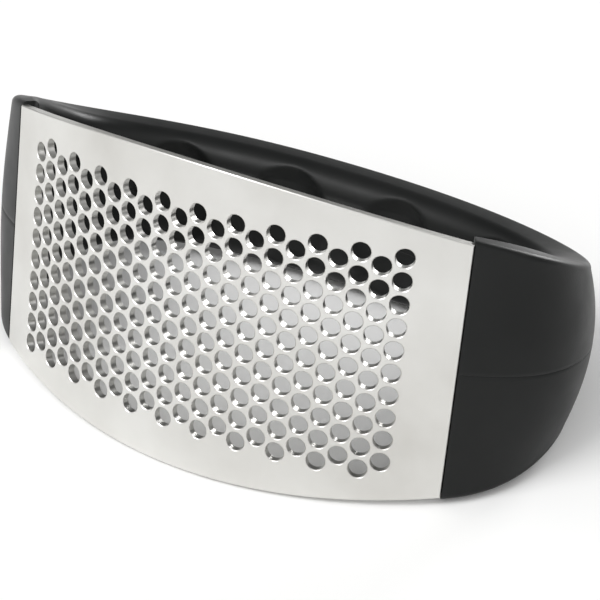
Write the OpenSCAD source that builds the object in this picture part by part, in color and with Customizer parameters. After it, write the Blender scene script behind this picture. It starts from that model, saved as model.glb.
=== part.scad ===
// Rocking garlic press: a curved, perforated steel plate held at both ends by a loop handle.
// The handle is two moulded halves that meet at mid-width and trap a T-shaped tab at each end
// of the plate. The press lies on its side, as it is put down on a worktop.

/* [Plate] */
// Radius of the pressing face
plate_radius = 85; // [82:0.5:90]
// Angle from the middle of the plate to each end, in degrees
plate_half_angle = 31.5; // [30.5:0.5:32]
// Width of the plate at its middle
plate_mid_width = 54.4; // [52:0.2:58]
// Width of the plate at its two ends
plate_end_width = 44.8; // [43:0.2:45.4]
// Thickness of the sheet steel
plate_thickness = 1.5; // [1.2:0.1:1.6]

/* [Holes] */
// Diameter of each hole
hole_diameter = 3.3; // [2.6:0.1:3.4]
// Columns of holes along the plate
hole_columns = 22; // [10:1:22]
// Holes in each column
hole_rows = 10; // [4:1:10]
// Spacing of the columns along the curve
column_pitch = 3.52; // [3.4:0.01:3.6]
// Spacing of the holes in a column
row_pitch = 4; // [3.8:0.05:4.1]
// How far neighbouring columns are staggered across the plate
column_stagger = 1.8; // [0:0.1:2]
// Shift of the whole pattern along the curve
pattern_shift = -0.75; // [-1:0.05:1]

/* [Tabs] */
// Width of the neck that passes into the handle
tab_neck_width = 12; // [8:1:14]
// Width of the head trapped inside the handle
tab_head_width = 18; // [16:1:20]
// Length of the neck
tab_neck_length = 2.5; // [2:0.5:3]
// Length of the head
tab_head_length = 3; // [2:0.5:3]
// How far the tab steps in behind the pressing face
tab_step = 0.9; // [0.9:0.1:1.1]
// Angle by which the tab is bent in towards the loop, in degrees
tab_bend = 8; // [6:1:10]

/* [Handle] */
// Half the length of the loop, measured at the rims
loop_half_length = 55; // [54:0.1:57]
// Depth from the pressing face to the back of the loop, measured at the rims
loop_depth = 59.2; // [57:0.1:62]
// Depth at which the loop is longest
side_depth = 31.4; // [30.5:0.1:33]
// Width of the handle where it takes the plate
handle_end_width = 46; // [45.8:0.2:47]
// Narrowing of the handle's width as it leaves the plate
handle_end_taper = 9; // [6:0.2:11]
// Width of the handle across the back
handle_back_width = 21.6; // [20:0.2:26]
// Thickness of the rim where the handle takes the plate
end_thickness = 3.4; // [3.2:0.1:4]
// Thickness of the rim across the back
back_thickness = 8.4; // [8:0.1:9]
// Bulge of the outer face between its rims
outer_crown = 2.2; // [1.5:0.1:2.5]
// Bulge of the inner face between its rims
inner_crown = 1.4; // [0.8:0.1:1.8]
// Wall thickness around the hollow
wall = 2.2; // [1.8:0.1:2.4]

/* [Finger grooves] */
// Spacing of the four finger grooves
groove_pitch = 23.8; // [20:0.2:25]
// Width of each groove
groove_width = 17.6; // [12:0.4:18]
// Depth of each groove
groove_depth = 2.6; // [1:0.1:2.7]
// Distance from the top of each groove to the rim
groove_drop = 1.4; // [0.8:0.1:3]

/* [Hidden] */

steel = [0.80, 0.80, 0.78];
plastic = [0.16, 0.17, 0.17];

// Play between the plate and the handle
seat_gap = 0.15;
// How far the ledge reaches under the end of the plate, and how far it stays inside the plate's edges
ledge_reach = 2.4;
ledge_inset = 0.4;
// Rounding of the rims, on the outside of the loop, and inside it at the side and at the back
outer_round = 1.2;
inner_round = 2.2;
back_round = 4.2;
// How fast the rim thickens from the plate's end towards the back
thickness_power = 2.9;
// Reach of the curves of the plan: from the plate's end, to and from the side, and to the back
end_pull = 8;
side_pull = [8, 18.1];
back_pull = 35.2;

// End of the plate in the plane of the loop: x along the press, y towards the back of the loop
end_x = plate_radius * sin(plate_half_angle);
end_y = plate_radius * (1 - cos(plate_half_angle));
end_direction = [cos(plate_half_angle), sin(plate_half_angle)];
mid_half_width = plate_mid_width / 2;
edge_sag = (plate_mid_width - plate_end_width) / 2;
edge_radius = (end_x * end_x + edge_sag * edge_sag) / (2 * edge_sag);

// Lie of the press: it rests on the inner corner of the plate's lower edge and on the rounding of
// the back rim, so the floor is the line through that corner that touches the rounding
to_rim = [loop_depth - outer_round - plate_thickness,
    mid_half_width - handle_back_width / 2 + outer_round];
lie_angle = atan(to_rim[1] / to_rim[0]) - asin(outer_round / norm(to_rim));
rest_height = plate_thickness * sin(lie_angle) + mid_half_width * cos(lie_angle);
// Rearmost point of the leaning, bulging back, which sets the middle of the depth
back_flat = handle_back_width / 2 - outer_round;
crest_z = back_flat * back_flat * tan(lie_angle) / (2 * outer_crown);
crest_y = loop_depth + outer_crown * (1 - pow(crest_z / back_flat, 2));
back_reach = crest_y * cos(lie_angle) + crest_z * sin(lie_angle);
front_reach = -mid_half_width * sin(lie_angle);
middle_depth = (front_reach + back_reach) / 2;

// ---- Plan of the loop: two cubic curves from the end of the plate to the middle of the back ----
bend_start = [end_x, end_y];
bend_side = [loop_half_length, side_depth];
back_middle = [0, loop_depth];
lower_curve = [
    bend_start,
    bend_start + end_pull * end_direction,
    bend_side - [0, side_pull[0]],
    bend_side];
upper_curve = [
    bend_side,
    bend_side + [0, side_pull[1]],
    back_middle + [back_pull, 0],
    back_middle];

function cubic(c, t) =
    pow(1 - t, 3) * c[0] + 3 * t * pow(1 - t, 2) * c[1] + 3 * t * t * (1 - t) * c[2] + pow(t, 3) * c[3];
function cubic_slope(c, t) =
    3 * pow(1 - t, 2) * (c[1] - c[0]) + 6 * t * (1 - t) * (c[2] - c[1]) + 3 * t * t * (c[3] - c[2]);

// u runs from -1 at the tip of the ledge to 0 at the plate's end, 1 at the side and 2 at the back
function plan_point(u) =
    u < 0 ? bend_start + u * ledge_reach * end_direction
    : u <= 1 ? cubic(lower_curve, u) : cubic(upper_curve, u - 1);
function plan_slope(u) =
    u < 0 ? end_direction : u <= 1 ? cubic_slope(lower_curve, u) : cubic_slope(upper_curve, u - 1);
function plan_normal(u) = let (s = plan_slope(u)) [s[1], -s[0]] / norm(s);

// The ledge ends a play's width beyond the plate, and the full section starts just after it
ledge_end = seat_gap / (3 * end_pull);
shoulder = 1.4 * ledge_end;

// 0 at the end of the plate, 1 at the back
function towards_back(y) = max(0, min(1, (y - end_y) / (loop_depth - end_y)));
widths = [handle_end_width, handle_end_width - handle_end_taper, handle_back_width, handle_back_width];
function half_width(y) = cubic(widths, towards_back(y)) / 2;
function rim_thickness(y) =
    back_thickness - (back_thickness - end_thickness) * pow(1 - towards_back(y), thickness_power);
// The bulges and the grooves fade in from the flat ends
function fade_in(u) = let (t = max(0, min(1, u))) t * t * (3 - 2 * t);
function rim_round(u) =
    inner_round * (0.5 + 0.5 * fade_in(u)) +
    (back_round - inner_round) * pow(towards_back(plan_point(u)[1]), 2);
// Four ellipsoidal scoops side by side: x is the place along the back, z the height above mid-width
// and h the half width of the handle there. They fade in on the way from the ends.
function groove(u, x, z, h) =
    let (from_middle = abs(abs(abs(x) - groove_pitch) - groove_pitch / 2))
    groove_depth * fade_in(u - 0.5) *
    sqrt(max(0, 1 - pow(2 * from_middle / groove_width, 2) - pow(z / (h - groove_drop), 2)));

// ---- Section of the handle: [offset outwards from the rim curve, height above mid-width] ----
wall_steps = 6;
round_steps = 4;
function full_section(u, h) =
    let (
        p = plan_point(u),
        t = rim_thickness(p[1]),
        b = fade_in(u),
        ri = rim_round(u),
        zo = h - outer_round,
        zi = h - ri)
    concat(
        [for (i = [0:wall_steps]) let (z = zo * i / wall_steps)
            [outer_crown * b * (1 - pow(z / zo, 2)), z]],
        [for (i = [1:round_steps]) let (a = 90 * i / round_steps)
            [-outer_round * (1 - cos(a)), zo + outer_round * sin(a)]],
        [for (i = [round_steps:-1:0]) let (a = 90 * i / round_steps, z = zi + ri * sin(a))
            [-t + ri * (1 - cos(a)) + groove(u, p[0], z, h), z]],
        [for (i = [wall_steps - 1:-1:0]) let (z = zi * i / wall_steps)
            [-t - inner_crown * b * (1 - pow(z / zi, 2)) + groove(u, p[0], z, h), z]]);
// Under the plate the section is cut back to the ledge that the plate lies on
function section(u) =
    u > ledge_end ? full_section(u, half_width(plan_point(u)[1]))
    : [for (q = full_section(u, plate_end_width / 2 - ledge_inset))
        [min(q[0], -plate_thickness - seat_gap), q[1]]];

// Mid-width corners and roof of the hollow in one section, outer side first
roof_draft = [0.6, 0.4];
function hollow(s, u) =
    let (
        n = len(s),
        p = plan_point(u),
        h = half_width(p[1]),
        roof = h - wall - inner_round,
        inner_side = -rim_thickness(p[1]) + groove(u, p[0], roof, h))
    [[s[0][0] - wall, 0], [-wall - roof_draft[0], roof],
        [inner_side + wall + roof_draft[1], roof], [s[n - 1][0] + wall, 0]];

function place(q, u, side) =
    let (p = plan_point(u) + q[0] * plan_normal(u))
    [side * p[0], p[1], q[1]];

// Stations along the loop, from the left end of the handle to the right end: [u, side]
arm_steps = 36;
left_stations = concat(
    [for (u = [-1, -0.5, ledge_end, shoulder]) [u, -1]],
    [for (i = [1:arm_steps]) [2 * i / arm_steps, -1]]);
stations = concat(
    left_stations,
    [for (i = [len(left_stations) - 2:-1:0]) [left_stations[i][0], 1]]);
// The hollow starts where the handle is thick enough to hold it
hollow_start = 0.9;
hollow_rings = [for (i = [0:len(stations) - 1]) if (stations[i][0] >= hollow_start) i];
first_hollow = hollow_rings[0];
last_hollow = hollow_rings[len(hollow_rings) - 1];

function reverse(list) = [for (i = [len(list) - 1:-1:0]) list[i]];

// Triangles from the first corner of a face to each of its other sides
function fan(corners) = [for (i = [1:len(corners) - 2]) [corners[0], corners[i], corners[i + 1]]];

// Half of the handle above mid-width: a closed skin with the hollow open at the parting face
module handle_shell() {
    sections = [for (s = stations) section(s[0])];
    n = len(sections[0]);
    m = len(stations);
    skin = [for (i = [0:m - 1]) for (q = sections[i]) place(q, stations[i][0], stations[i][1])];
    hollow_points = [
        for (i = hollow_rings)
            for (q = hollow(sections[i], stations[i][0])) place(q, stations[i][0], stations[i][1])];
    at = function (i, j) i * n + j;
    in = function (i, j) m * n + (i - first_hollow) * 4 + j;
    a = first_hollow;
    b = last_hollow;
    faces = concat(
        [for (i = [0:m - 2]) for (j = [0:n - 2]) [at(i, j), at(i, j + 1), at(i + 1, j + 1), at(i + 1, j)]],
        [for (j = [0:n / 2 - 2]) [at(0, j + 1), at(0, j), at(0, n - 1 - j), at(0, n - 2 - j)]],
        [for (j = [0:n / 2 - 2])
            [at(m - 1, j), at(m - 1, j + 1), at(m - 1, n - 2 - j), at(m - 1, n - 1 - j)]],
        [for (i = [0:m - 2]) if (i < a - 1 || i > b)
            [at(i, 0), at(i + 1, 0), at(i + 1, n - 1), at(i, n - 1)]],
        fan([at(a - 1, 0), at(a, 0), in(a, 0), in(a, 3), at(a, n - 1), at(a - 1, n - 1)]),
        fan([at(b + 1, 0), at(b + 1, n - 1), at(b, n - 1), in(b, 3), in(b, 0), at(b, 0)]),
        [for (i = [a:b - 1]) [at(i, 0), at(i + 1, 0), in(i + 1, 0), in(i, 0)]],
        [for (i = [a:b - 1]) [in(i, 3), in(i + 1, 3), at(i + 1, n - 1), at(i, n - 1)]],
        [for (i = [a:b - 1]) for (j = [0:2]) [in(i, j), in(i + 1, j), in(i + 1, j + 1), in(i, j + 1)]],
        [[for (j = [0:3]) in(a, j)], [for (j = [3:-1:0]) in(b, j)]]);
    polyhedron(concat(skin, hollow_points), [for (f = faces) reverse(f)], convexity = 10);
}

// The tab at the right end of the plate, with play added on every side
module tab(play) {
    root = -plate_thickness - play;
    neck = tab_neck_length - play;
    tip = tab_neck_length + tab_head_length + play;
    half_neck = tab_neck_width / 2 + play;
    half_head = tab_head_width / 2 + play;
    translate(bend_start)
        rotate([0, 0, plate_half_angle + tab_bend])
            translate([0, tab_step + plate_thickness + play, 0])
                rotate([90, 0, 0])
                    linear_extrude(plate_thickness + 2 * play)
                        polygon([
                            [root, -half_neck], [neck, -half_neck], [neck, -half_head], [tip, -half_head],
                            [tip, half_head], [neck, half_head], [neck, half_neck], [root, half_neck]]);
}

// Arc of sheet about the axis of the pressing face, before its edges are bowed
module sheet_arc() {
    translate([0, plate_radius, -mid_half_width])
        rotate([0, 0, -90 - plate_half_angle])
            rotate_extrude(angle = 2 * plate_half_angle, $fn = 180)
                translate([plate_radius - plate_thickness, 0])
                    square([plate_thickness, plate_mid_width]);
}

// Large disc whose rim is the bowed edge on one side of the plate
module barrel_edge(side) {
    translate([0, -1, side * (mid_half_width - edge_radius)])
        rotate([-90, 0, 0])
            cylinder(r = edge_radius, h = loop_depth, $fn = 360);
}

// Upright row of drills through the plate at its middle
module drill_column() {
    for (r = [0:hole_rows - 1])
        translate([0, -1, (r - (hole_rows - 1) / 2) * row_pitch])
            rotate([-90, 0, 0])
                cylinder(d = hole_diameter, h = plate_thickness + 2, $fn = 24);
}

// The columns swung along the plate, every other one raised by half the stagger
module drills() {
    for (c = [0:hole_columns - 1]) {
        along = (c - (hole_columns - 1) / 2) * column_pitch + pattern_shift;
        translate([0, plate_radius, (c % 2 == 0 ? -1 : 1) * column_stagger / 2])
            rotate([0, 0, along * 180 / (PI * plate_radius)])
                translate([0, -plate_radius, 0])
                    drill_column();
    }
}

module perforated_sheet() {
    difference() {
        intersection() {
            sheet_arc();
            barrel_edge(-1);
            barrel_edge(1);
        }
        drills();
    }
}

// Turns the press from its own plane onto the surface it lies on
module lie() {
    translate([0, -middle_depth, rest_height])
        rotate([-lie_angle, 0, 0])
            children();
}

module perforated_plate() {
    color(steel)
        lie() {
            perforated_sheet();
            tab(0);
            mirror([1, 0, 0])
                tab(0);
        }
}

// Upper half of the handle in its own plane, with the slots for the tabs
module handle_half() {
    difference() {
        handle_shell();
        tab(seat_gap);
        mirror([1, 0, 0])
            tab(seat_gap);
    }
}

module handle_upper_half() {
    color(plastic)
        lie()
            handle_half();
}

module handle_lower_half() {
    color(plastic)
        lie()
            mirror([0, 0, 1])
                handle_half();
}

perforated_plate();
handle_lower_half();
handle_upper_half();
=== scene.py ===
import bpy
import numpy as np
from mathutils import Matrix, Vector


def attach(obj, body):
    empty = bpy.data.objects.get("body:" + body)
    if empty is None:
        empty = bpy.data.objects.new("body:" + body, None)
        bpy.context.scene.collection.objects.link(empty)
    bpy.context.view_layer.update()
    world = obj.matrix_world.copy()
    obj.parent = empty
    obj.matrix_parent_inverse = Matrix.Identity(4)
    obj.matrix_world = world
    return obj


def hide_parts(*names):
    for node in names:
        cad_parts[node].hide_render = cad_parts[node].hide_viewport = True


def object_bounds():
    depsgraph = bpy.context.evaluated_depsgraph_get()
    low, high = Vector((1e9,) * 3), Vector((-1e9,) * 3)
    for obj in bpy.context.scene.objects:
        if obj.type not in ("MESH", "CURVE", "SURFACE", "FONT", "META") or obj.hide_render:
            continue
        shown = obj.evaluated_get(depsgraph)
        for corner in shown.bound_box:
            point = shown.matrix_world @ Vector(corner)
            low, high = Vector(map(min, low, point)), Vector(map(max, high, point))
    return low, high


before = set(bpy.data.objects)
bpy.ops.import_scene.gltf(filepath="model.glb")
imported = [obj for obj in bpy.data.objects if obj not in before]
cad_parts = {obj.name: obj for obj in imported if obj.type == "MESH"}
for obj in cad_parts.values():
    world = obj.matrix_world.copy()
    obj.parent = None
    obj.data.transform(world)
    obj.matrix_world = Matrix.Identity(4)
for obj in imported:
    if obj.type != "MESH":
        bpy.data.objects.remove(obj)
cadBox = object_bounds()
print("frame loaded:", list(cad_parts))

mm = 0.001


def smoothStep(t):  # 0 below 0, 1 above 1, cubic 3t^2 - 2t^3 between
    t = np.clip(t, 0, 1)
    return t * t * (3 - 2 * t)


def cubicCurve(points, t):  # Bezier curve through 4 control points, with its slope
    a, b, c, d = (np.asarray(p, float) for p in points)
    t = np.asarray(t)[:, None]
    place = (1 - t) ** 3 * a + 3 * t * (1 - t) ** 2 * b + 3 * t ** 2 * (1 - t) * c + t ** 3 * d
    slope = 3 * (1 - t) ** 2 * (b - a) + 6 * t * (1 - t) * (c - b) + 3 * t ** 2 * (d - c)
    return place, slope


def gridQuads(rows, columns, start=0, flip=False):  # quads of a grid whose points run along its columns
    i, j = np.meshgrid(np.arange(rows - 1), np.arange(columns - 1), indexing="ij")
    corner = (start + i * columns + j).ravel()
    quads = np.stack([corner, corner + 1, corner + columns + 1, corner + columns], 1)
    return quads[:, ::-1] if flip else quads


def makePiece(name, points, faces, material, body="root"):
    mesh = bpy.data.meshes.new(name)
    mesh.from_pydata(points.tolist(), [], faces)
    mesh.validate()
    mesh.update()
    mesh.shade_smooth()
    piece = bpy.data.objects.new(name, mesh)
    bpy.context.scene.collection.objects.link(piece)
    mesh.materials.append(material)
    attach(piece, body)
    return piece


# The press is drawn in its own plane (x along it, y to the back of the loop, z across it, in mm),
# then leaned back until the plate's edge and the back rim touch the surface.

press = {
    "plateRadius": 85.0, "halfAngle": 31.5, "midWidth": 54.4, "endWidth": 44.8, "thickness": 1.5,
    "loopHalfLength": 55.0, "loopDepth": 59.2, "sideDepth": 31.4,
    "handleEndWidth": 46.0, "handleEndTaper": 9.0, "handleBackWidth": 21.6,
    "outerRound": 1.2, "outerCrown": 2.2,
}


def lieOfPress():
    toRim = np.array([press["loopDepth"] - press["outerRound"] - press["thickness"],
                      press["midWidth"] / 2 - press["handleBackWidth"] / 2 + press["outerRound"]])
    return np.arctan2(toRim[1], toRim[0]) - np.arcsin(press["outerRound"] / np.linalg.norm(toRim))


lean = lieOfPress()


def leanBack(points):  # turn about x by the lean, then lift onto the surface and centre, in metres
    halfWidth = press["midWidth"] / 2
    flat = press["handleBackWidth"] / 2 - press["outerRound"]
    crestZ = flat ** 2 * np.tan(lean) / (2 * press["outerCrown"])
    crestY = press["loopDepth"] + press["outerCrown"] * (1 - (crestZ / flat) ** 2)
    back = crestY * np.cos(lean) + crestZ * np.sin(lean)
    middle = (back - halfWidth * np.sin(lean)) / 2
    lift = press["thickness"] * np.sin(lean) + halfWidth * np.cos(lean)
    x, y, z = points.T
    y, z = y * np.cos(lean) + z * np.sin(lean) - middle, z * np.cos(lean) - y * np.sin(lean) + lift
    return np.stack([x, y, z], 1) * mm


def newMaterial(name):
    material = bpy.data.materials.new(name)
    material.use_nodes = True
    tree = material.node_tree
    shader = tree.nodes["Principled BSDF"]
    place = tree.nodes.new("ShaderNodeTexCoord").outputs["Object"]
    return material, tree, shader, place


# noise in object space, drawn out along the axes whose stretch is small
def noise(tree, place, scale, detail=3.0, stretch=(1, 1, 1)):
    mapping = tree.nodes.new("ShaderNodeMapping")
    mapping.inputs["Scale"].default_value = stretch
    tree.links.new(place, mapping.inputs["Vector"])
    node = tree.nodes.new("ShaderNodeTexNoise")
    node.inputs["Scale"].default_value = scale
    node.inputs["Detail"].default_value = detail
    tree.links.new(mapping.outputs["Vector"], node.inputs["Vector"])
    return node.outputs["Fac"]


def spread(tree, value, low, high, fromLow=0.3, fromHigh=0.7):  # maps a noise value into a range
    node = tree.nodes.new("ShaderNodeMapRange")
    node.inputs["From Min"].default_value = fromLow
    node.inputs["From Max"].default_value = fromHigh
    node.inputs["To Min"].default_value = low
    node.inputs["To Max"].default_value = high
    tree.links.new(value, node.inputs["Value"])
    return node.outputs["Result"]


def blendColours(tree, value, first, second):
    node = tree.nodes.new("ShaderNodeMix")
    node.data_type = "RGBA"
    node.inputs[6].default_value = (*first, 1)
    node.inputs[7].default_value = (*second, 1)
    tree.links.new(value, node.inputs[0])
    return node.outputs[2]


def bump(tree, shader, height, depth, under=None):  # depth in metres; under is an earlier bump
    node = tree.nodes.new("ShaderNodeBump")
    node.inputs["Strength"].default_value = 1.0
    node.inputs["Distance"].default_value = depth
    tree.links.new(height, node.inputs["Height"])
    if under is not None:
        tree.links.new(under, node.inputs["Normal"])
    tree.links.new(node.outputs["Normal"], shader.inputs["Normal"])
    return node.outputs["Normal"]


plasticLook = {
    "dark": (0.0055, 0.0062, 0.0060), "light": (0.0095, 0.0102, 0.0100), "cloudScale": 45,
    "roughLow": 0.36, "roughHigh": 0.46, "roughScale": 160, "grainScale": 2600, "grainDepth": 0.00001,
    "ior": 1.3,
}


def matteBlackPlastic():
    look = plasticLook
    material, tree, shader, place = newMaterial("matteBlackPlastic")
    cloud = noise(tree, place, look["cloudScale"], 4)
    grain = noise(tree, place, look["grainScale"], 2)
    tree.links.new(blendColours(tree, spread(tree, cloud, 0, 1), look["dark"], look["light"]),
                   shader.inputs["Base Color"])
    patchy = noise(tree, place, look["roughScale"], 5)
    tree.links.new(spread(tree, patchy, look["roughLow"], look["roughHigh"]), shader.inputs["Roughness"])
    bump(tree, shader, grain, look["grainDepth"])
    shader.inputs["IOR"].default_value = look["ior"]
    return material


steelLook = {
    "clean": (0.76, 0.755, 0.73), "smudged": (0.61, 0.60, 0.57),
    "smudgeScale": 38, "smudgeFrom": 0.35, "smudgeTo": 0.75, "roughLow": 0.27, "roughHigh": 0.42,
    "grainScale": 900, "grainStretch": (0.05, 1, 1), "grainDepth": 0.000004,
}


def satinSteel():
    look = steelLook
    material, tree, shader, place = newMaterial("satinSteel")
    smudge = noise(tree, place, look["smudgeScale"], 5)
    lines = noise(tree, place, look["grainScale"], 3, look["grainStretch"])
    stain = spread(tree, smudge, 0, 1, look["smudgeFrom"], look["smudgeTo"])
    tree.links.new(blendColours(tree, stain, look["clean"], look["smudged"]), shader.inputs["Base Color"])
    tree.links.new(spread(tree, smudge, look["roughLow"], look["roughHigh"]), shader.inputs["Roughness"])
    bump(tree, shader, lines, look["grainDepth"])
    shader.inputs["Metallic"].default_value = 1.0
    return material


blackPlastic = matteBlackPlastic()
plateSteel = satinSteel()
print("materials made")


# Each half is one profile carried round the loop. The profile is the outer wall with its bulge,
# two rounded rim corners and the inner wall with its bulge and finger grooves.

handle = {
    "endThickness": 3.4, "backThickness": 8.4, "thicknessPower": 2.9,
    "innerRound": 2.2, "backRound": 4.2, "innerCrown": 1.4, "wall": 2.2,
    "groovePitch": 23.8, "grooveWidth": 17.6, "grooveDepth": 2.6, "grooveDrop": 1.4, "grooveEdge": 0.04,
    "grooveFadeFrom": 0.5,
    "ledgeReach": 2.4, "ledgeInset": 0.4, "seatGap": 0.15,
    "partingChamfer": 0.04, "shoulderRound": 0.15, "ledgeCornerRound": 1.2, "endRoundShare": 0.5,
    "ledgeRings": 8, "ledgeRoundSpan": 0.75, "ledgeMiddle": -0.12, "shoulderStart": 1.01, "shoulderRings": 5,
    "armRings": 220, "wallPoints": 26, "roundPoints": 14, "hollowStart": 0.9, "roofDraft": (0.6, 0.4),
}
endPull, sidePull, backPull = 8.0, (8.0, 18.1), 35.2  # reach of the plan's curves at their ends, in mm


def planCurve(u):  # u is -1 at the ledge, 0 at the plate's end, 1 at the side, 2 at the middle of the back
    angle = np.radians(press["halfAngle"])
    along = np.array([np.cos(angle), np.sin(angle)])
    start = press["plateRadius"] * np.array([np.sin(angle), 1 - np.cos(angle)])
    side = np.array([press["loopHalfLength"], press["sideDepth"]])
    back = np.array([0, press["loopDepth"]])
    lower, lowerSlope = cubicCurve([start, start + endPull * along, side - [0, sidePull[0]], side],
                                   np.clip(u, 0, 1))
    upper, upperSlope = cubicCurve([side, side + [0, sidePull[1]], back + [backPull, 0], back],
                                   np.clip(u - 1, 0, 1))
    ledge = start + np.minimum(u, 0)[:, None] * handle["ledgeReach"] * along
    place = np.where((u < 0)[:, None], ledge, np.where((u <= 1)[:, None], lower, upper))
    slope = np.where((u < 0)[:, None], along, np.where((u <= 1)[:, None], lowerSlope, upperSlope))
    slope = slope / np.linalg.norm(slope, axis=1)[:, None]
    return place, np.stack([slope[:, 1], -slope[:, 0]], 1)


def ledgeEnd():  # u where the ledge ends, a play's width beyond the plate
    return handle["seatGap"] / (3 * endPull)


def rimSize(y):  # half the width, the rim's thickness and the way to the back (0 to 1), from the depth y
    endY = press["plateRadius"] * (1 - np.cos(np.radians(press["halfAngle"])))
    back = np.clip((y - endY) / (press["loopDepth"] - endY), 0, 1)
    end, narrow = press["handleEndWidth"], press["handleBackWidth"]
    width, _ = cubicCurve([[end], [end - press["handleEndTaper"]], [narrow], [narrow]], back)
    thick, thin = handle["backThickness"], handle["endThickness"]
    return width[:, 0] / 2, thick - (thick - thin) * (1 - back) ** handle["thicknessPower"], back


# four ellipsoidal scoops: the depth times the root of 1 less the squares of the ways along and up
def fingerGroove(u, x, z, half):
    pitch = handle["groovePitch"]
    fromMiddle = np.abs(np.abs(np.abs(x) - pitch) - pitch / 2)[:, None]
    along = 2 * fromMiddle / handle["grooveWidth"]
    upwards = z / (half[:, None] - handle["grooveDrop"])
    hollow = 1 - along ** 2 - upwards ** 2
    edge = handle["grooveEdge"]  # the rim of a scoop is eased: a smooth maximum of the hollow and zero
    fade = smoothStep(u - handle["grooveFadeFrom"])[:, None]
    return handle["grooveDepth"] * fade * np.sqrt((hollow + np.sqrt(hollow ** 2 + edge ** 2)) / 2)


def profiles(u):  # offsets outwards from the rim curve and heights, one row for each u
    place, _ = planCurve(u)
    half, thickness, towardsBack = rimSize(place[:, 1])
    bulge = smoothStep(u)
    # the ledge stays inside the plate's edges, and its free corner is rounded off
    fromTip = (u + 1) * handle["ledgeReach"]
    r = handle["ledgeCornerRound"]
    cornerDrop = r - np.sqrt(np.maximum(r * r - np.maximum(r - fromTip, 0) ** 2, 0))
    half = np.where(u <= ledgeEnd(), press["endWidth"] / 2 - handle["ledgeInset"] - cornerDrop, half)
    outerR = press["outerRound"]
    share = handle["endRoundShare"]
    innerR = handle["innerRound"] * (share + (1 - share) * bulge)
    innerR = innerR + (handle["backRound"] - handle["innerRound"]) * towardsBack ** 2
    col = lambda a: np.asarray(a)[:, None]
    wall = np.linspace(0, 1, handle["wallPoints"])[None, :]
    turn = np.linspace(0, np.pi / 2, handle["roundPoints"])[None, 1:]
    back = np.linspace(np.pi / 2, 0, handle["roundPoints"])[None, :]
    outerTop, innerTop = col(half - outerR), col(half - innerR)
    chamfer = handle["partingChamfer"]
    outerWall = col(press["outerCrown"] * bulge) * (1 - wall ** 2)
    outerTurn = -outerR * (1 - np.cos(turn)) + 0 * outerTop
    turnZ = innerTop + col(innerR) * np.sin(back)
    innerTurn = -col(thickness) + col(innerR) * (1 - np.cos(back)) + fingerGroove(u, place[:, 0], turnZ, half)
    rise = wall[:, ::-1]
    groove = fingerGroove(u, place[:, 0], rise * innerTop, half)
    innerWall = -col(thickness) - col(handle["innerCrown"] * bulge) * (1 - rise ** 2) + groove
    offsets = np.hstack([outerWall[:, :1] - chamfer, outerWall, outerTurn,
                         innerTurn, innerWall[:, 1:], innerWall[:, -1:] + chamfer])
    wallZ = np.maximum(wall * outerTop, chamfer)
    innerZ = np.maximum(wall[:, ::-1] * innerTop, chamfer)
    heights = np.hstack([0 * outerTop, wallZ, outerTop + outerR * np.sin(turn),
                         turnZ, innerZ[:, 1:], 0 * innerTop])
    # the outer wall is cut back to the ledge under the plate, with a small round on the shoulder
    along = u * 3 * endPull - handle["seatGap"]
    r = handle["shoulderRound"]
    limit = np.where(along < 0, -press["thickness"] - handle["seatGap"],
                     -r + np.sqrt(np.maximum(r * r - np.maximum(r - along, 0) ** 2, 0)))
    limit = np.where(along >= r, np.inf, limit)
    return np.minimum(offsets, col(limit)), heights


def stationsOfLoop():  # u along the right half, closer together where the shape turns quickly
    shoulder = ledgeEnd() * handle["shoulderStart"]
    roundEnd = shoulder + handle["shoulderRound"] / (3 * endPull)
    ledgeCorner = 1 - np.cos(np.linspace(0, np.pi / 2, handle["ledgeRings"]))
    return np.concatenate([
        -1 + handle["ledgeRoundSpan"] * ledgeCorner, [handle["ledgeMiddle"], ledgeEnd()],
        np.linspace(shoulder, roundEnd, handle["shoulderRings"]),
        np.linspace(roundEnd, 2, handle["armRings"])[1:]])


def carryAlong(place, normal, side, offsets, heights):  # plan point plus offset times normal, at each height
    plan = place[:, None, :] + offsets[:, :, None] * normal[:, None, :]
    return np.stack([plan[:, :, 0] * side[:, None], plan[:, :, 1], heights], 2)


def hollowCorners(u, place, offsets):  # offsets and heights of the hollow's corners, outer side first
    half, thickness, _ = rimSize(place[:, 1])
    wall, draft = handle["wall"], handle["roofDraft"]
    roof = half - wall - handle["innerRound"]
    groove = fingerGroove(u, place[:, 0], roof[:, None], half)[:, 0]
    corners = np.stack([offsets[:, 0] - wall, -wall - draft[0] + 0 * roof,
                        -thickness + groove + wall + draft[1], offsets[:, -1] + wall], 1)
    return corners, np.stack([0 * roof, roof, roof, 0 * roof], 1)


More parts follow.
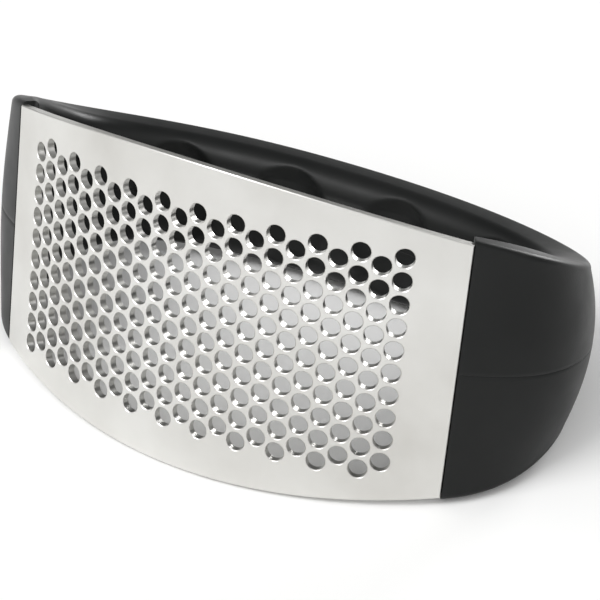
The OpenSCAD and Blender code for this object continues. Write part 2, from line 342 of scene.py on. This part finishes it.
# skin, end caps and parting face of a half; the hollow runs from ring first to ring last, four corners a ring
def halfFaces(rings, points, first, last):
    def skin(ring, point):
        return ring * points + point

    def inside(ring, corner):
        return rings * points + (ring - first) * 4 + corner

    def quad(*corners):
        return np.stack(corners, 1)

    end = points - 1
    ring = np.arange(rings - 1)
    solid = ring[(ring < first - 1) | (ring > last)]
    opened = np.arange(first, last)
    quads = [gridQuads(rings, points)]
    quads.append(quad(skin(solid, 0), skin(solid + 1, 0), skin(solid + 1, end), skin(solid, end)))
    quads.append(quad(skin(opened, 0), skin(opened + 1, 0), inside(opened + 1, 0), inside(opened, 0)))
    quads.append(quad(inside(opened, 3), inside(opened + 1, 3), skin(opened + 1, end), skin(opened, end)))
    for j in range(3):
        quads.append(quad(inside(opened, j), inside(opened + 1, j),
                          inside(opened + 1, j + 1), inside(opened, j + 1)))
    j = np.arange(points // 2 - 1)
    cap = quad(j + 1, j, end - j, end - 1 - j)
    quads.append(cap)
    quads.append(cap[:, ::-1] + (rings - 1) * points)
    quads.append(np.array([[inside(first, j) for j in (0, 1, 2, 3)],
                           [inside(last, j) for j in (3, 2, 1, 0)]]))
    faces = np.vstack(quads).tolist()
    faces.append([skin(first - 1, 0), skin(first, 0), inside(first, 0), inside(first, 3),
                  skin(first, end), skin(first - 1, end)])
    faces.append([skin(last + 1, 0), skin(last + 1, end), skin(last, end), inside(last, 3),
                  inside(last, 0), skin(last, 0)])
    return faces


def handleHalf(name, up):  # up is 1 for the upper half and -1 for the lower one
    right = stationsOfLoop()
    u = np.concatenate([right, right[-2::-1]])
    side = np.concatenate([-np.ones(len(right)), np.ones(len(right) - 1)])
    place, normal = planCurve(u)
    offsets, heights = profiles(u)
    skin = carryAlong(place, normal, side, offsets, heights * up)
    corners, cornerHeights = hollowCorners(u, place, offsets)
    first, last = np.flatnonzero(u >= handle["hollowStart"])[[0, -1]]
    hollow = carryAlong(place, normal, side, corners, cornerHeights * up)[first:last + 1]
    faces = halfFaces(*offsets.shape, first, last)
    if up < 0:
        faces = [face[::-1] for face in faces]
    points = leanBack(np.vstack([skin.reshape(-1, 3), hollow.reshape(-1, 3)]))
    return makePiece(name, points, faces, blackPlastic)


upperHalf = handleHalf("handleUpperHalf", 1)
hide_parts("handle_upper_half")
lowerHalf = handleHalf("handleLowerHalf", -1)
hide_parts("handle_lower_half")
print("handle halves made:", len(upperHalf.data.polygons), "faces each")


plate = {
    "holeDiameter": 3.3, "columns": 22, "rows": 10, "columnPitch": 3.52, "rowPitch": 4.0,
    "stagger": 1.8, "shift": -0.75, "holeEdge": 0.12, "rimEdge": 0.16,
    "sideSteps": 3, "topSteps": 6, "marginRows": 5, "marginColumns": 8,
    "tabNeckWidth": 12.0, "tabHeadWidth": 18.0, "tabNeckLength": 2.5, "tabHeadLength": 3.0,
    "tabStep": 0.9, "tabBend": 8.0, "sharpAngle": 30,
}


def bentSheet(s, z, depth):  # arc length s, height z and depth below the pressing face, onto the arc
    angle = s / press["plateRadius"]
    radius = press["plateRadius"] - depth
    return np.stack([radius * np.sin(angle), press["plateRadius"] - radius * np.cos(angle), z], -1)


def edgeHeight(s):  # half the width of the plate at arc length s: an arc of a large circle
    x = press["plateRadius"] * np.sin(s / press["plateRadius"])
    endX = press["plateRadius"] * np.sin(np.radians(press["halfAngle"]))
    sag = (press["midWidth"] - press["endWidth"]) / 2
    radius = (endX ** 2 + sag ** 2) / (2 * sag)
    return press["midWidth"] / 2 - radius + np.sqrt(radius ** 2 - x ** 2)


def sideHeights(stagger):  # heights along one side of a cell, split where the neighbours' corners fall
    half, steps = plate["rowPitch"] / 2, plate["sideSteps"]
    split = (half - plate["stagger"]) * (1 if stagger > 0 else -1)
    return np.concatenate([np.linspace(-half, split, steps + 1)[:-1], np.linspace(split, half, steps + 1)])


def cellOutline(stagger):  # points round one cell, against the clock from its lower left corner
    halfS = plate["columnPitch"] / 2
    halfZ = plate["rowPitch"] / 2
    across = np.linspace(-halfS, halfS, plate["topSteps"] + 1)
    up = sideHeights(stagger)
    return np.concatenate([
        np.stack([across[:-1], 0 * across[:-1] - halfZ], 1), np.stack([0 * up[:-1] + halfS, up[:-1]], 1),
        np.stack([across[:0:-1], 0 * across[1:] + halfZ], 1), np.stack([0 * up[1:] - halfS, up[:0:-1]], 1)])


def loopQuads(rings, count, start):  # quads between closed rings of count points each
    i, j = np.meshgrid(np.arange(rings - 1), np.arange(count), indexing="ij")
    here, after = start + i * count + j, start + i * count + (j + 1) % count
    return np.stack([here, after, after + count, here + count], -1).reshape(-1, 4)


def holeRings(outline):  # cell outline, bevelled edge, wall, bevelled edge and cell outline behind
    radius, edge, thick = plate["holeDiameter"] / 2, plate["holeEdge"], press["thickness"]
    circle = outline / np.linalg.norm(outline, axis=1)[:, None]
    wide, narrow = circle * (radius + edge), circle * radius
    flat = [outline, wide, narrow, narrow, wide, outline]
    depths = [0, 0, edge, thick - edge, thick, thick]
    return np.concatenate([np.column_stack([ring, 0 * ring[:, 0] + d]) for ring, d in zip(flat, depths)])


def sheetPatch(points, quads, sGrid, zGrid):  # a grid of the sheet's front, and the same behind, facing out
    rows, columns = sGrid.shape
    for depth, flip in ((0.0, True), (press["thickness"], False)):
        quads.append(gridQuads(rows, columns, sum(map(len, points)), flip))
        points.append(np.stack([sGrid.ravel(), zGrid.ravel(), 0 * sGrid.ravel() + depth], 1))


def tabPrism(side):  # T-shaped tongue behind the end of the plate, as a closed prism in the handle's plane
    root, neck = -press["thickness"], plate["tabNeckLength"]
    tip = neck + plate["tabHeadLength"]
    a, b = plate["tabNeckWidth"] / 2, plate["tabHeadWidth"] / 2
    outline = np.array([[root, -a], [neck, -a], [neck, -b], [tip, -b],
                        [tip, b], [neck, b], [neck, a], [root, a]])
    turn = np.radians(press["halfAngle"] + plate["tabBend"])
    end = bentSheet(np.radians(press["halfAngle"]) * press["plateRadius"], 0.0, 0.0)
    layers = []
    for inwards in (plate["tabStep"], plate["tabStep"] + press["thickness"]):
        x = end[0] + outline[:, 0] * np.cos(turn) - inwards * np.sin(turn)
        y = end[1] + outline[:, 0] * np.sin(turn) + inwards * np.cos(turn)
        layers.append(np.stack([x * side, y, outline[:, 1]], 1))
    faces = [list(range(8)), list(range(15, 7, -1))]
    faces += [[(j + 1) % 8, j, j + 8, (j + 1) % 8 + 8] for j in range(8)]
    return np.concatenate(layers), faces if side > 0 else [face[::-1] for face in faces]


def patternLayout():  # the columns' places along the plate and staggers, the rows' heights and the top
    columns, rows = plate["columns"], plate["rows"]
    middles = (np.arange(columns) - (columns - 1) / 2) * plate["columnPitch"] + plate["shift"]
    staggers = np.where(np.arange(columns) % 2 == 0, -1, 1) * plate["stagger"] / 2
    heights = (np.arange(rows) - (rows - 1) / 2) * plate["rowPitch"]
    return middles, staggers, heights, rows * plate["rowPitch"] / 2 + plate["stagger"] / 2


def acrossCell(middle):  # places along one column's top and bottom
    halfS = plate["columnPitch"] / 2
    return middle + np.linspace(-halfS, halfS, plate["topSteps"] + 1)


def addCells(points, quads):  # each column's cells with their holes, and the band that levels the columns
    middles, staggers, heights, top = patternLayout()
    for middle, stagger in zip(middles, staggers):
        outline = cellOutline(stagger)
        ring = holeRings(outline)
        for height in heights:
            quads.append(loopQuads(6, len(outline), sum(map(len, points))))
            points.append(ring + [middle, height + stagger, 0])
        z = -np.sign(stagger) * np.linspace(top - plate["stagger"], top, plate["sideSteps"] + 1)
        sheetPatch(points, quads, *np.meshgrid(acrossCell(middle), np.sort(z), indexing="ij"))


def marginHeights(s):  # from the pattern's top out to the bowed edge, one row for each place along the plate
    top = patternLayout()[3]
    outwards = np.linspace(0, 1, plate["marginRows"] + 1)
    return top + (edgeHeight(s) - plate["rimEdge"] - top)[:, None] * outwards[None, :]


def addSideMargins(points, quads):  # margins above and below the pattern
    middles = patternLayout()[0]
    steps = np.concatenate([acrossCell(middle)[:-1] for middle in middles])
    s = np.append(steps, middles[-1] + plate["columnPitch"] / 2)
    for sign in (-1, 1):
        z = sign * marginHeights(s)
        z = z if sign > 0 else z[:, ::-1]
        sheetPatch(points, quads, np.repeat(s[:, None], z.shape[1], 1), z)
    return steps


def addEndMargin(points, quads, end):  # margin at one end, on the heights of the column next to it
    middles, staggers, heights, top = patternLayout()
    column = 0 if end < 0 else -1
    stagger = staggers[column]
    inner = np.concatenate([height + stagger + sideHeights(stagger)[:-1] for height in heights])
    inner = np.append(inner, heights[-1] + stagger + plate["rowPitch"] / 2)
    band = np.linspace(top - plate["stagger"], top, plate["sideSteps"] + 1)
    inner = np.concatenate([inner, band[1:]]) if stagger < 0 else np.concatenate([-band[:0:-1], inner])
    nearest = middles[column] + end * plate["columnPitch"] / 2
    s = np.linspace(nearest, end * flatHalfLength(), plate["marginColumns"] + 1)
    beyond = marginHeights(s)[:, 1:]
    z = np.hstack([-beyond[:, ::-1], np.repeat(inner[None, :], len(s), 0), beyond])
    order = slice(None) if end > 0 else slice(None, None, -1)
    sheetPatch(points, quads, np.repeat(s[order, None], z.shape[1], 1), z[order])
    return s[order], z[order]


def flatHalfLength():  # half the plate's length along its curve, up to the bevel of its edge
    return np.radians(press["halfAngle"]) * press["plateRadius"] - plate["rimEdge"]


def addRim(points, quads, steps, left, right):  # front boundary, bevel, cut edge, bevel and back boundary
    edge, thick, length = plate["rimEdge"], press["thickness"], flatHalfLength()
    sTop = np.concatenate([left[0][:-1], steps, right[0]])
    zTop = edgeHeight(sTop) - edge
    zLeft, zRight = left[1][0], right[1][-1]
    boundary = np.concatenate([
        np.stack([sTop[:-1], -zTop[:-1]], 1), np.stack([0 * zRight[:-1] + length, zRight[:-1]], 1),
        np.stack([sTop[:0:-1], zTop[:0:-1]], 1), np.stack([0 * zLeft[1:] - length, zLeft[:0:-1]], 1)])
    s, z = boundary.T
    near = 1e-6
    outwards = np.stack([np.where(np.abs(s) > length - near, np.sign(s), 0),
                         np.where(np.abs(np.abs(z) - edgeHeight(s) + edge) < near, np.sign(z), 0)], 1)
    full = boundary + edge * outwards
    quads.append(loopQuads(4, len(boundary), sum(map(len, points)))[:, ::-1])
    points.append(np.concatenate([np.column_stack([ring, 0 * ring[:, 0] + depth]) for ring, depth in
                                  ((boundary, 0), (full, edge), (full, thick - edge), (boundary, thick))]))


def perforatedPlate():
    points, quads = [], []
    addCells(points, quads)
    steps = addSideMargins(points, quads)
    left, right = addEndMargin(points, quads, -1), addEndMargin(points, quads, 1)
    addRim(points, quads, steps, left, right)
    # patches that touch share their points
    points, quads = np.concatenate(points), np.concatenate(quads)
    _, kept, joined = np.unique(np.round(points, 5), axis=0, return_index=True, return_inverse=True)
    quads = joined.reshape(-1)[quads]
    points = bentSheet(*points[kept].T)
    faces = quads.tolist()
    for side in (1, -1):
        tab, tabFaces = tabPrism(side)
        faces += [[corner + len(points) for corner in face] for face in tabFaces]
        points = np.concatenate([points, tab])
    piece = makePiece("perforatedPlate", leanBack(points), faces, plateSteel)
    piece.data.set_sharp_from_angle(angle=np.radians(plate["sharpAngle"]))
    return piece


steelPlate = perforatedPlate()
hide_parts("perforated_plate")
print("plate made:", len(steelPlate.data.polygons), "faces")


studio = {
    "floorColour": (0.93, 0.93, 0.925), "floorSize": 3.0, "floorMottle": 0.99, "floorScale": 6,
    "worldStrength": 1.0, "worldBehind": 0.15, "dimmingFrom": -0.2, "dimmingTo": 0.55,
}
lights = {  # place, point it shines at, width and height in metres, and power in watts
    "keyLight": ((-0.25, -0.4, 0.78), (0, 0, 0.03), (0.5, 0.4), 3.6),
    "fillLight": ((0.75, 0.1, 0.45), (0, 0, 0.03), (0.5, 0.5), 0.3),
    "rimLight": ((0.12, 0.9, 0.2), (0.03, 0, 0.03), (0.35, 0.2), 4.5),
}


def makeFloor():
    half = studio["floorSize"] / 2
    mesh = bpy.data.meshes.new("floor")
    corners = [(-half, -half, 0), (half, -half, 0), (half, half, 0), (-half, half, 0)]
    mesh.from_pydata(corners, [], [(0, 1, 2, 3)])
    floor = bpy.data.objects.new("floor", mesh)
    bpy.context.scene.collection.objects.link(floor)
    material, tree, shader, place = newMaterial("paleFloor")
    pale = studio["floorColour"]
    darker = tuple(channel * studio["floorMottle"] for channel in pale)
    tree.links.new(blendColours(tree, noise(tree, place, studio["floorScale"]), pale, darker),
                   shader.inputs["Base Color"])
    shader.inputs["Roughness"].default_value = 0.9
    mesh.materials.append(material)


def makeWorld():  # bright in front and overhead, dim behind, and pale where it is seen directly
    world = bpy.data.worlds.new("studio")
    world.use_nodes = True
    tree = world.node_tree
    background = tree.nodes["Background"]
    background.inputs["Strength"].default_value = studio["worldStrength"]
    split = tree.nodes.new("ShaderNodeSeparateXYZ")
    tree.links.new(tree.nodes.new("ShaderNodeTexCoord").outputs["Generated"], split.inputs["Vector"])
    glow = spread(tree, split.outputs["Y"], 1.0, studio["worldBehind"],
                  studio["dimmingFrom"], studio["dimmingTo"])
    seen = tree.nodes.new("ShaderNodeMath")
    seen.operation = "MAXIMUM"
    tree.links.new(glow, seen.inputs[0])
    tree.links.new(tree.nodes.new("ShaderNodeLightPath").outputs["Is Camera Ray"], seen.inputs[1])
    tree.links.new(seen.outputs["Value"], background.inputs["Color"])
    bpy.context.scene.world = world
    bpy.context.scene.view_settings.view_transform = "Standard"  # keeps the pale floor pale


def areaLight(name, place, target, size, power):
    light = bpy.data.lights.new(name, "AREA")
    light.shape = "RECTANGLE"
    light.size, light.size_y = size
    light.energy = power
    lamp = bpy.data.objects.new(name, light)
    lamp.location = place
    direction = np.array(target) - np.array(place)
    lamp.rotation_euler = Vector(direction).to_track_quat("-Z", "Y").to_euler()
    bpy.context.scene.collection.objects.link(lamp)


cameraView = {"azimuth": 34.04, "elevation": 37.20, "roll": 3.70, "distance": 0.4020, "lens": 140.87,
              "aimOffset": (0.00763, -0.00295, -0.00884)}


def makeCamera():
    az, el, roll = (np.radians(cameraView[k]) for k in ("azimuth", "elevation", "roll"))
    low, high = (np.array(corner) for corner in cadBox)
    aim = (low + high) / 2 + np.array(cameraView["aimOffset"])
    towards = np.array([np.sin(az) * np.cos(el), -np.cos(az) * np.cos(el), np.sin(el)])
    sideways = np.array([np.cos(az), np.sin(az), 0.0])
    upright = np.cross(towards, sideways)
    right = sideways * np.cos(roll) - upright * np.sin(roll)
    up = upright * np.cos(roll) + sideways * np.sin(roll)
    camera = bpy.data.objects.new("camera", bpy.data.cameras.new("camera"))
    camera.data.lens = cameraView["lens"]
    camera.data.sensor_width = 36
    camera.data.clip_start = 0.01
    turn = Matrix((right, up, towards)).transposed().to_4x4()
    camera.matrix_world = Matrix.Translation(Vector(aim + towards * cameraView["distance"])) @ turn
    bpy.context.scene.collection.objects.link(camera)
    bpy.context.scene.camera = camera


makeFloor()
makeWorld()
for name, (place, target, size, power) in lights.items():
    areaLight(name, place, target, size, power)
makeCamera()
print("studio set")
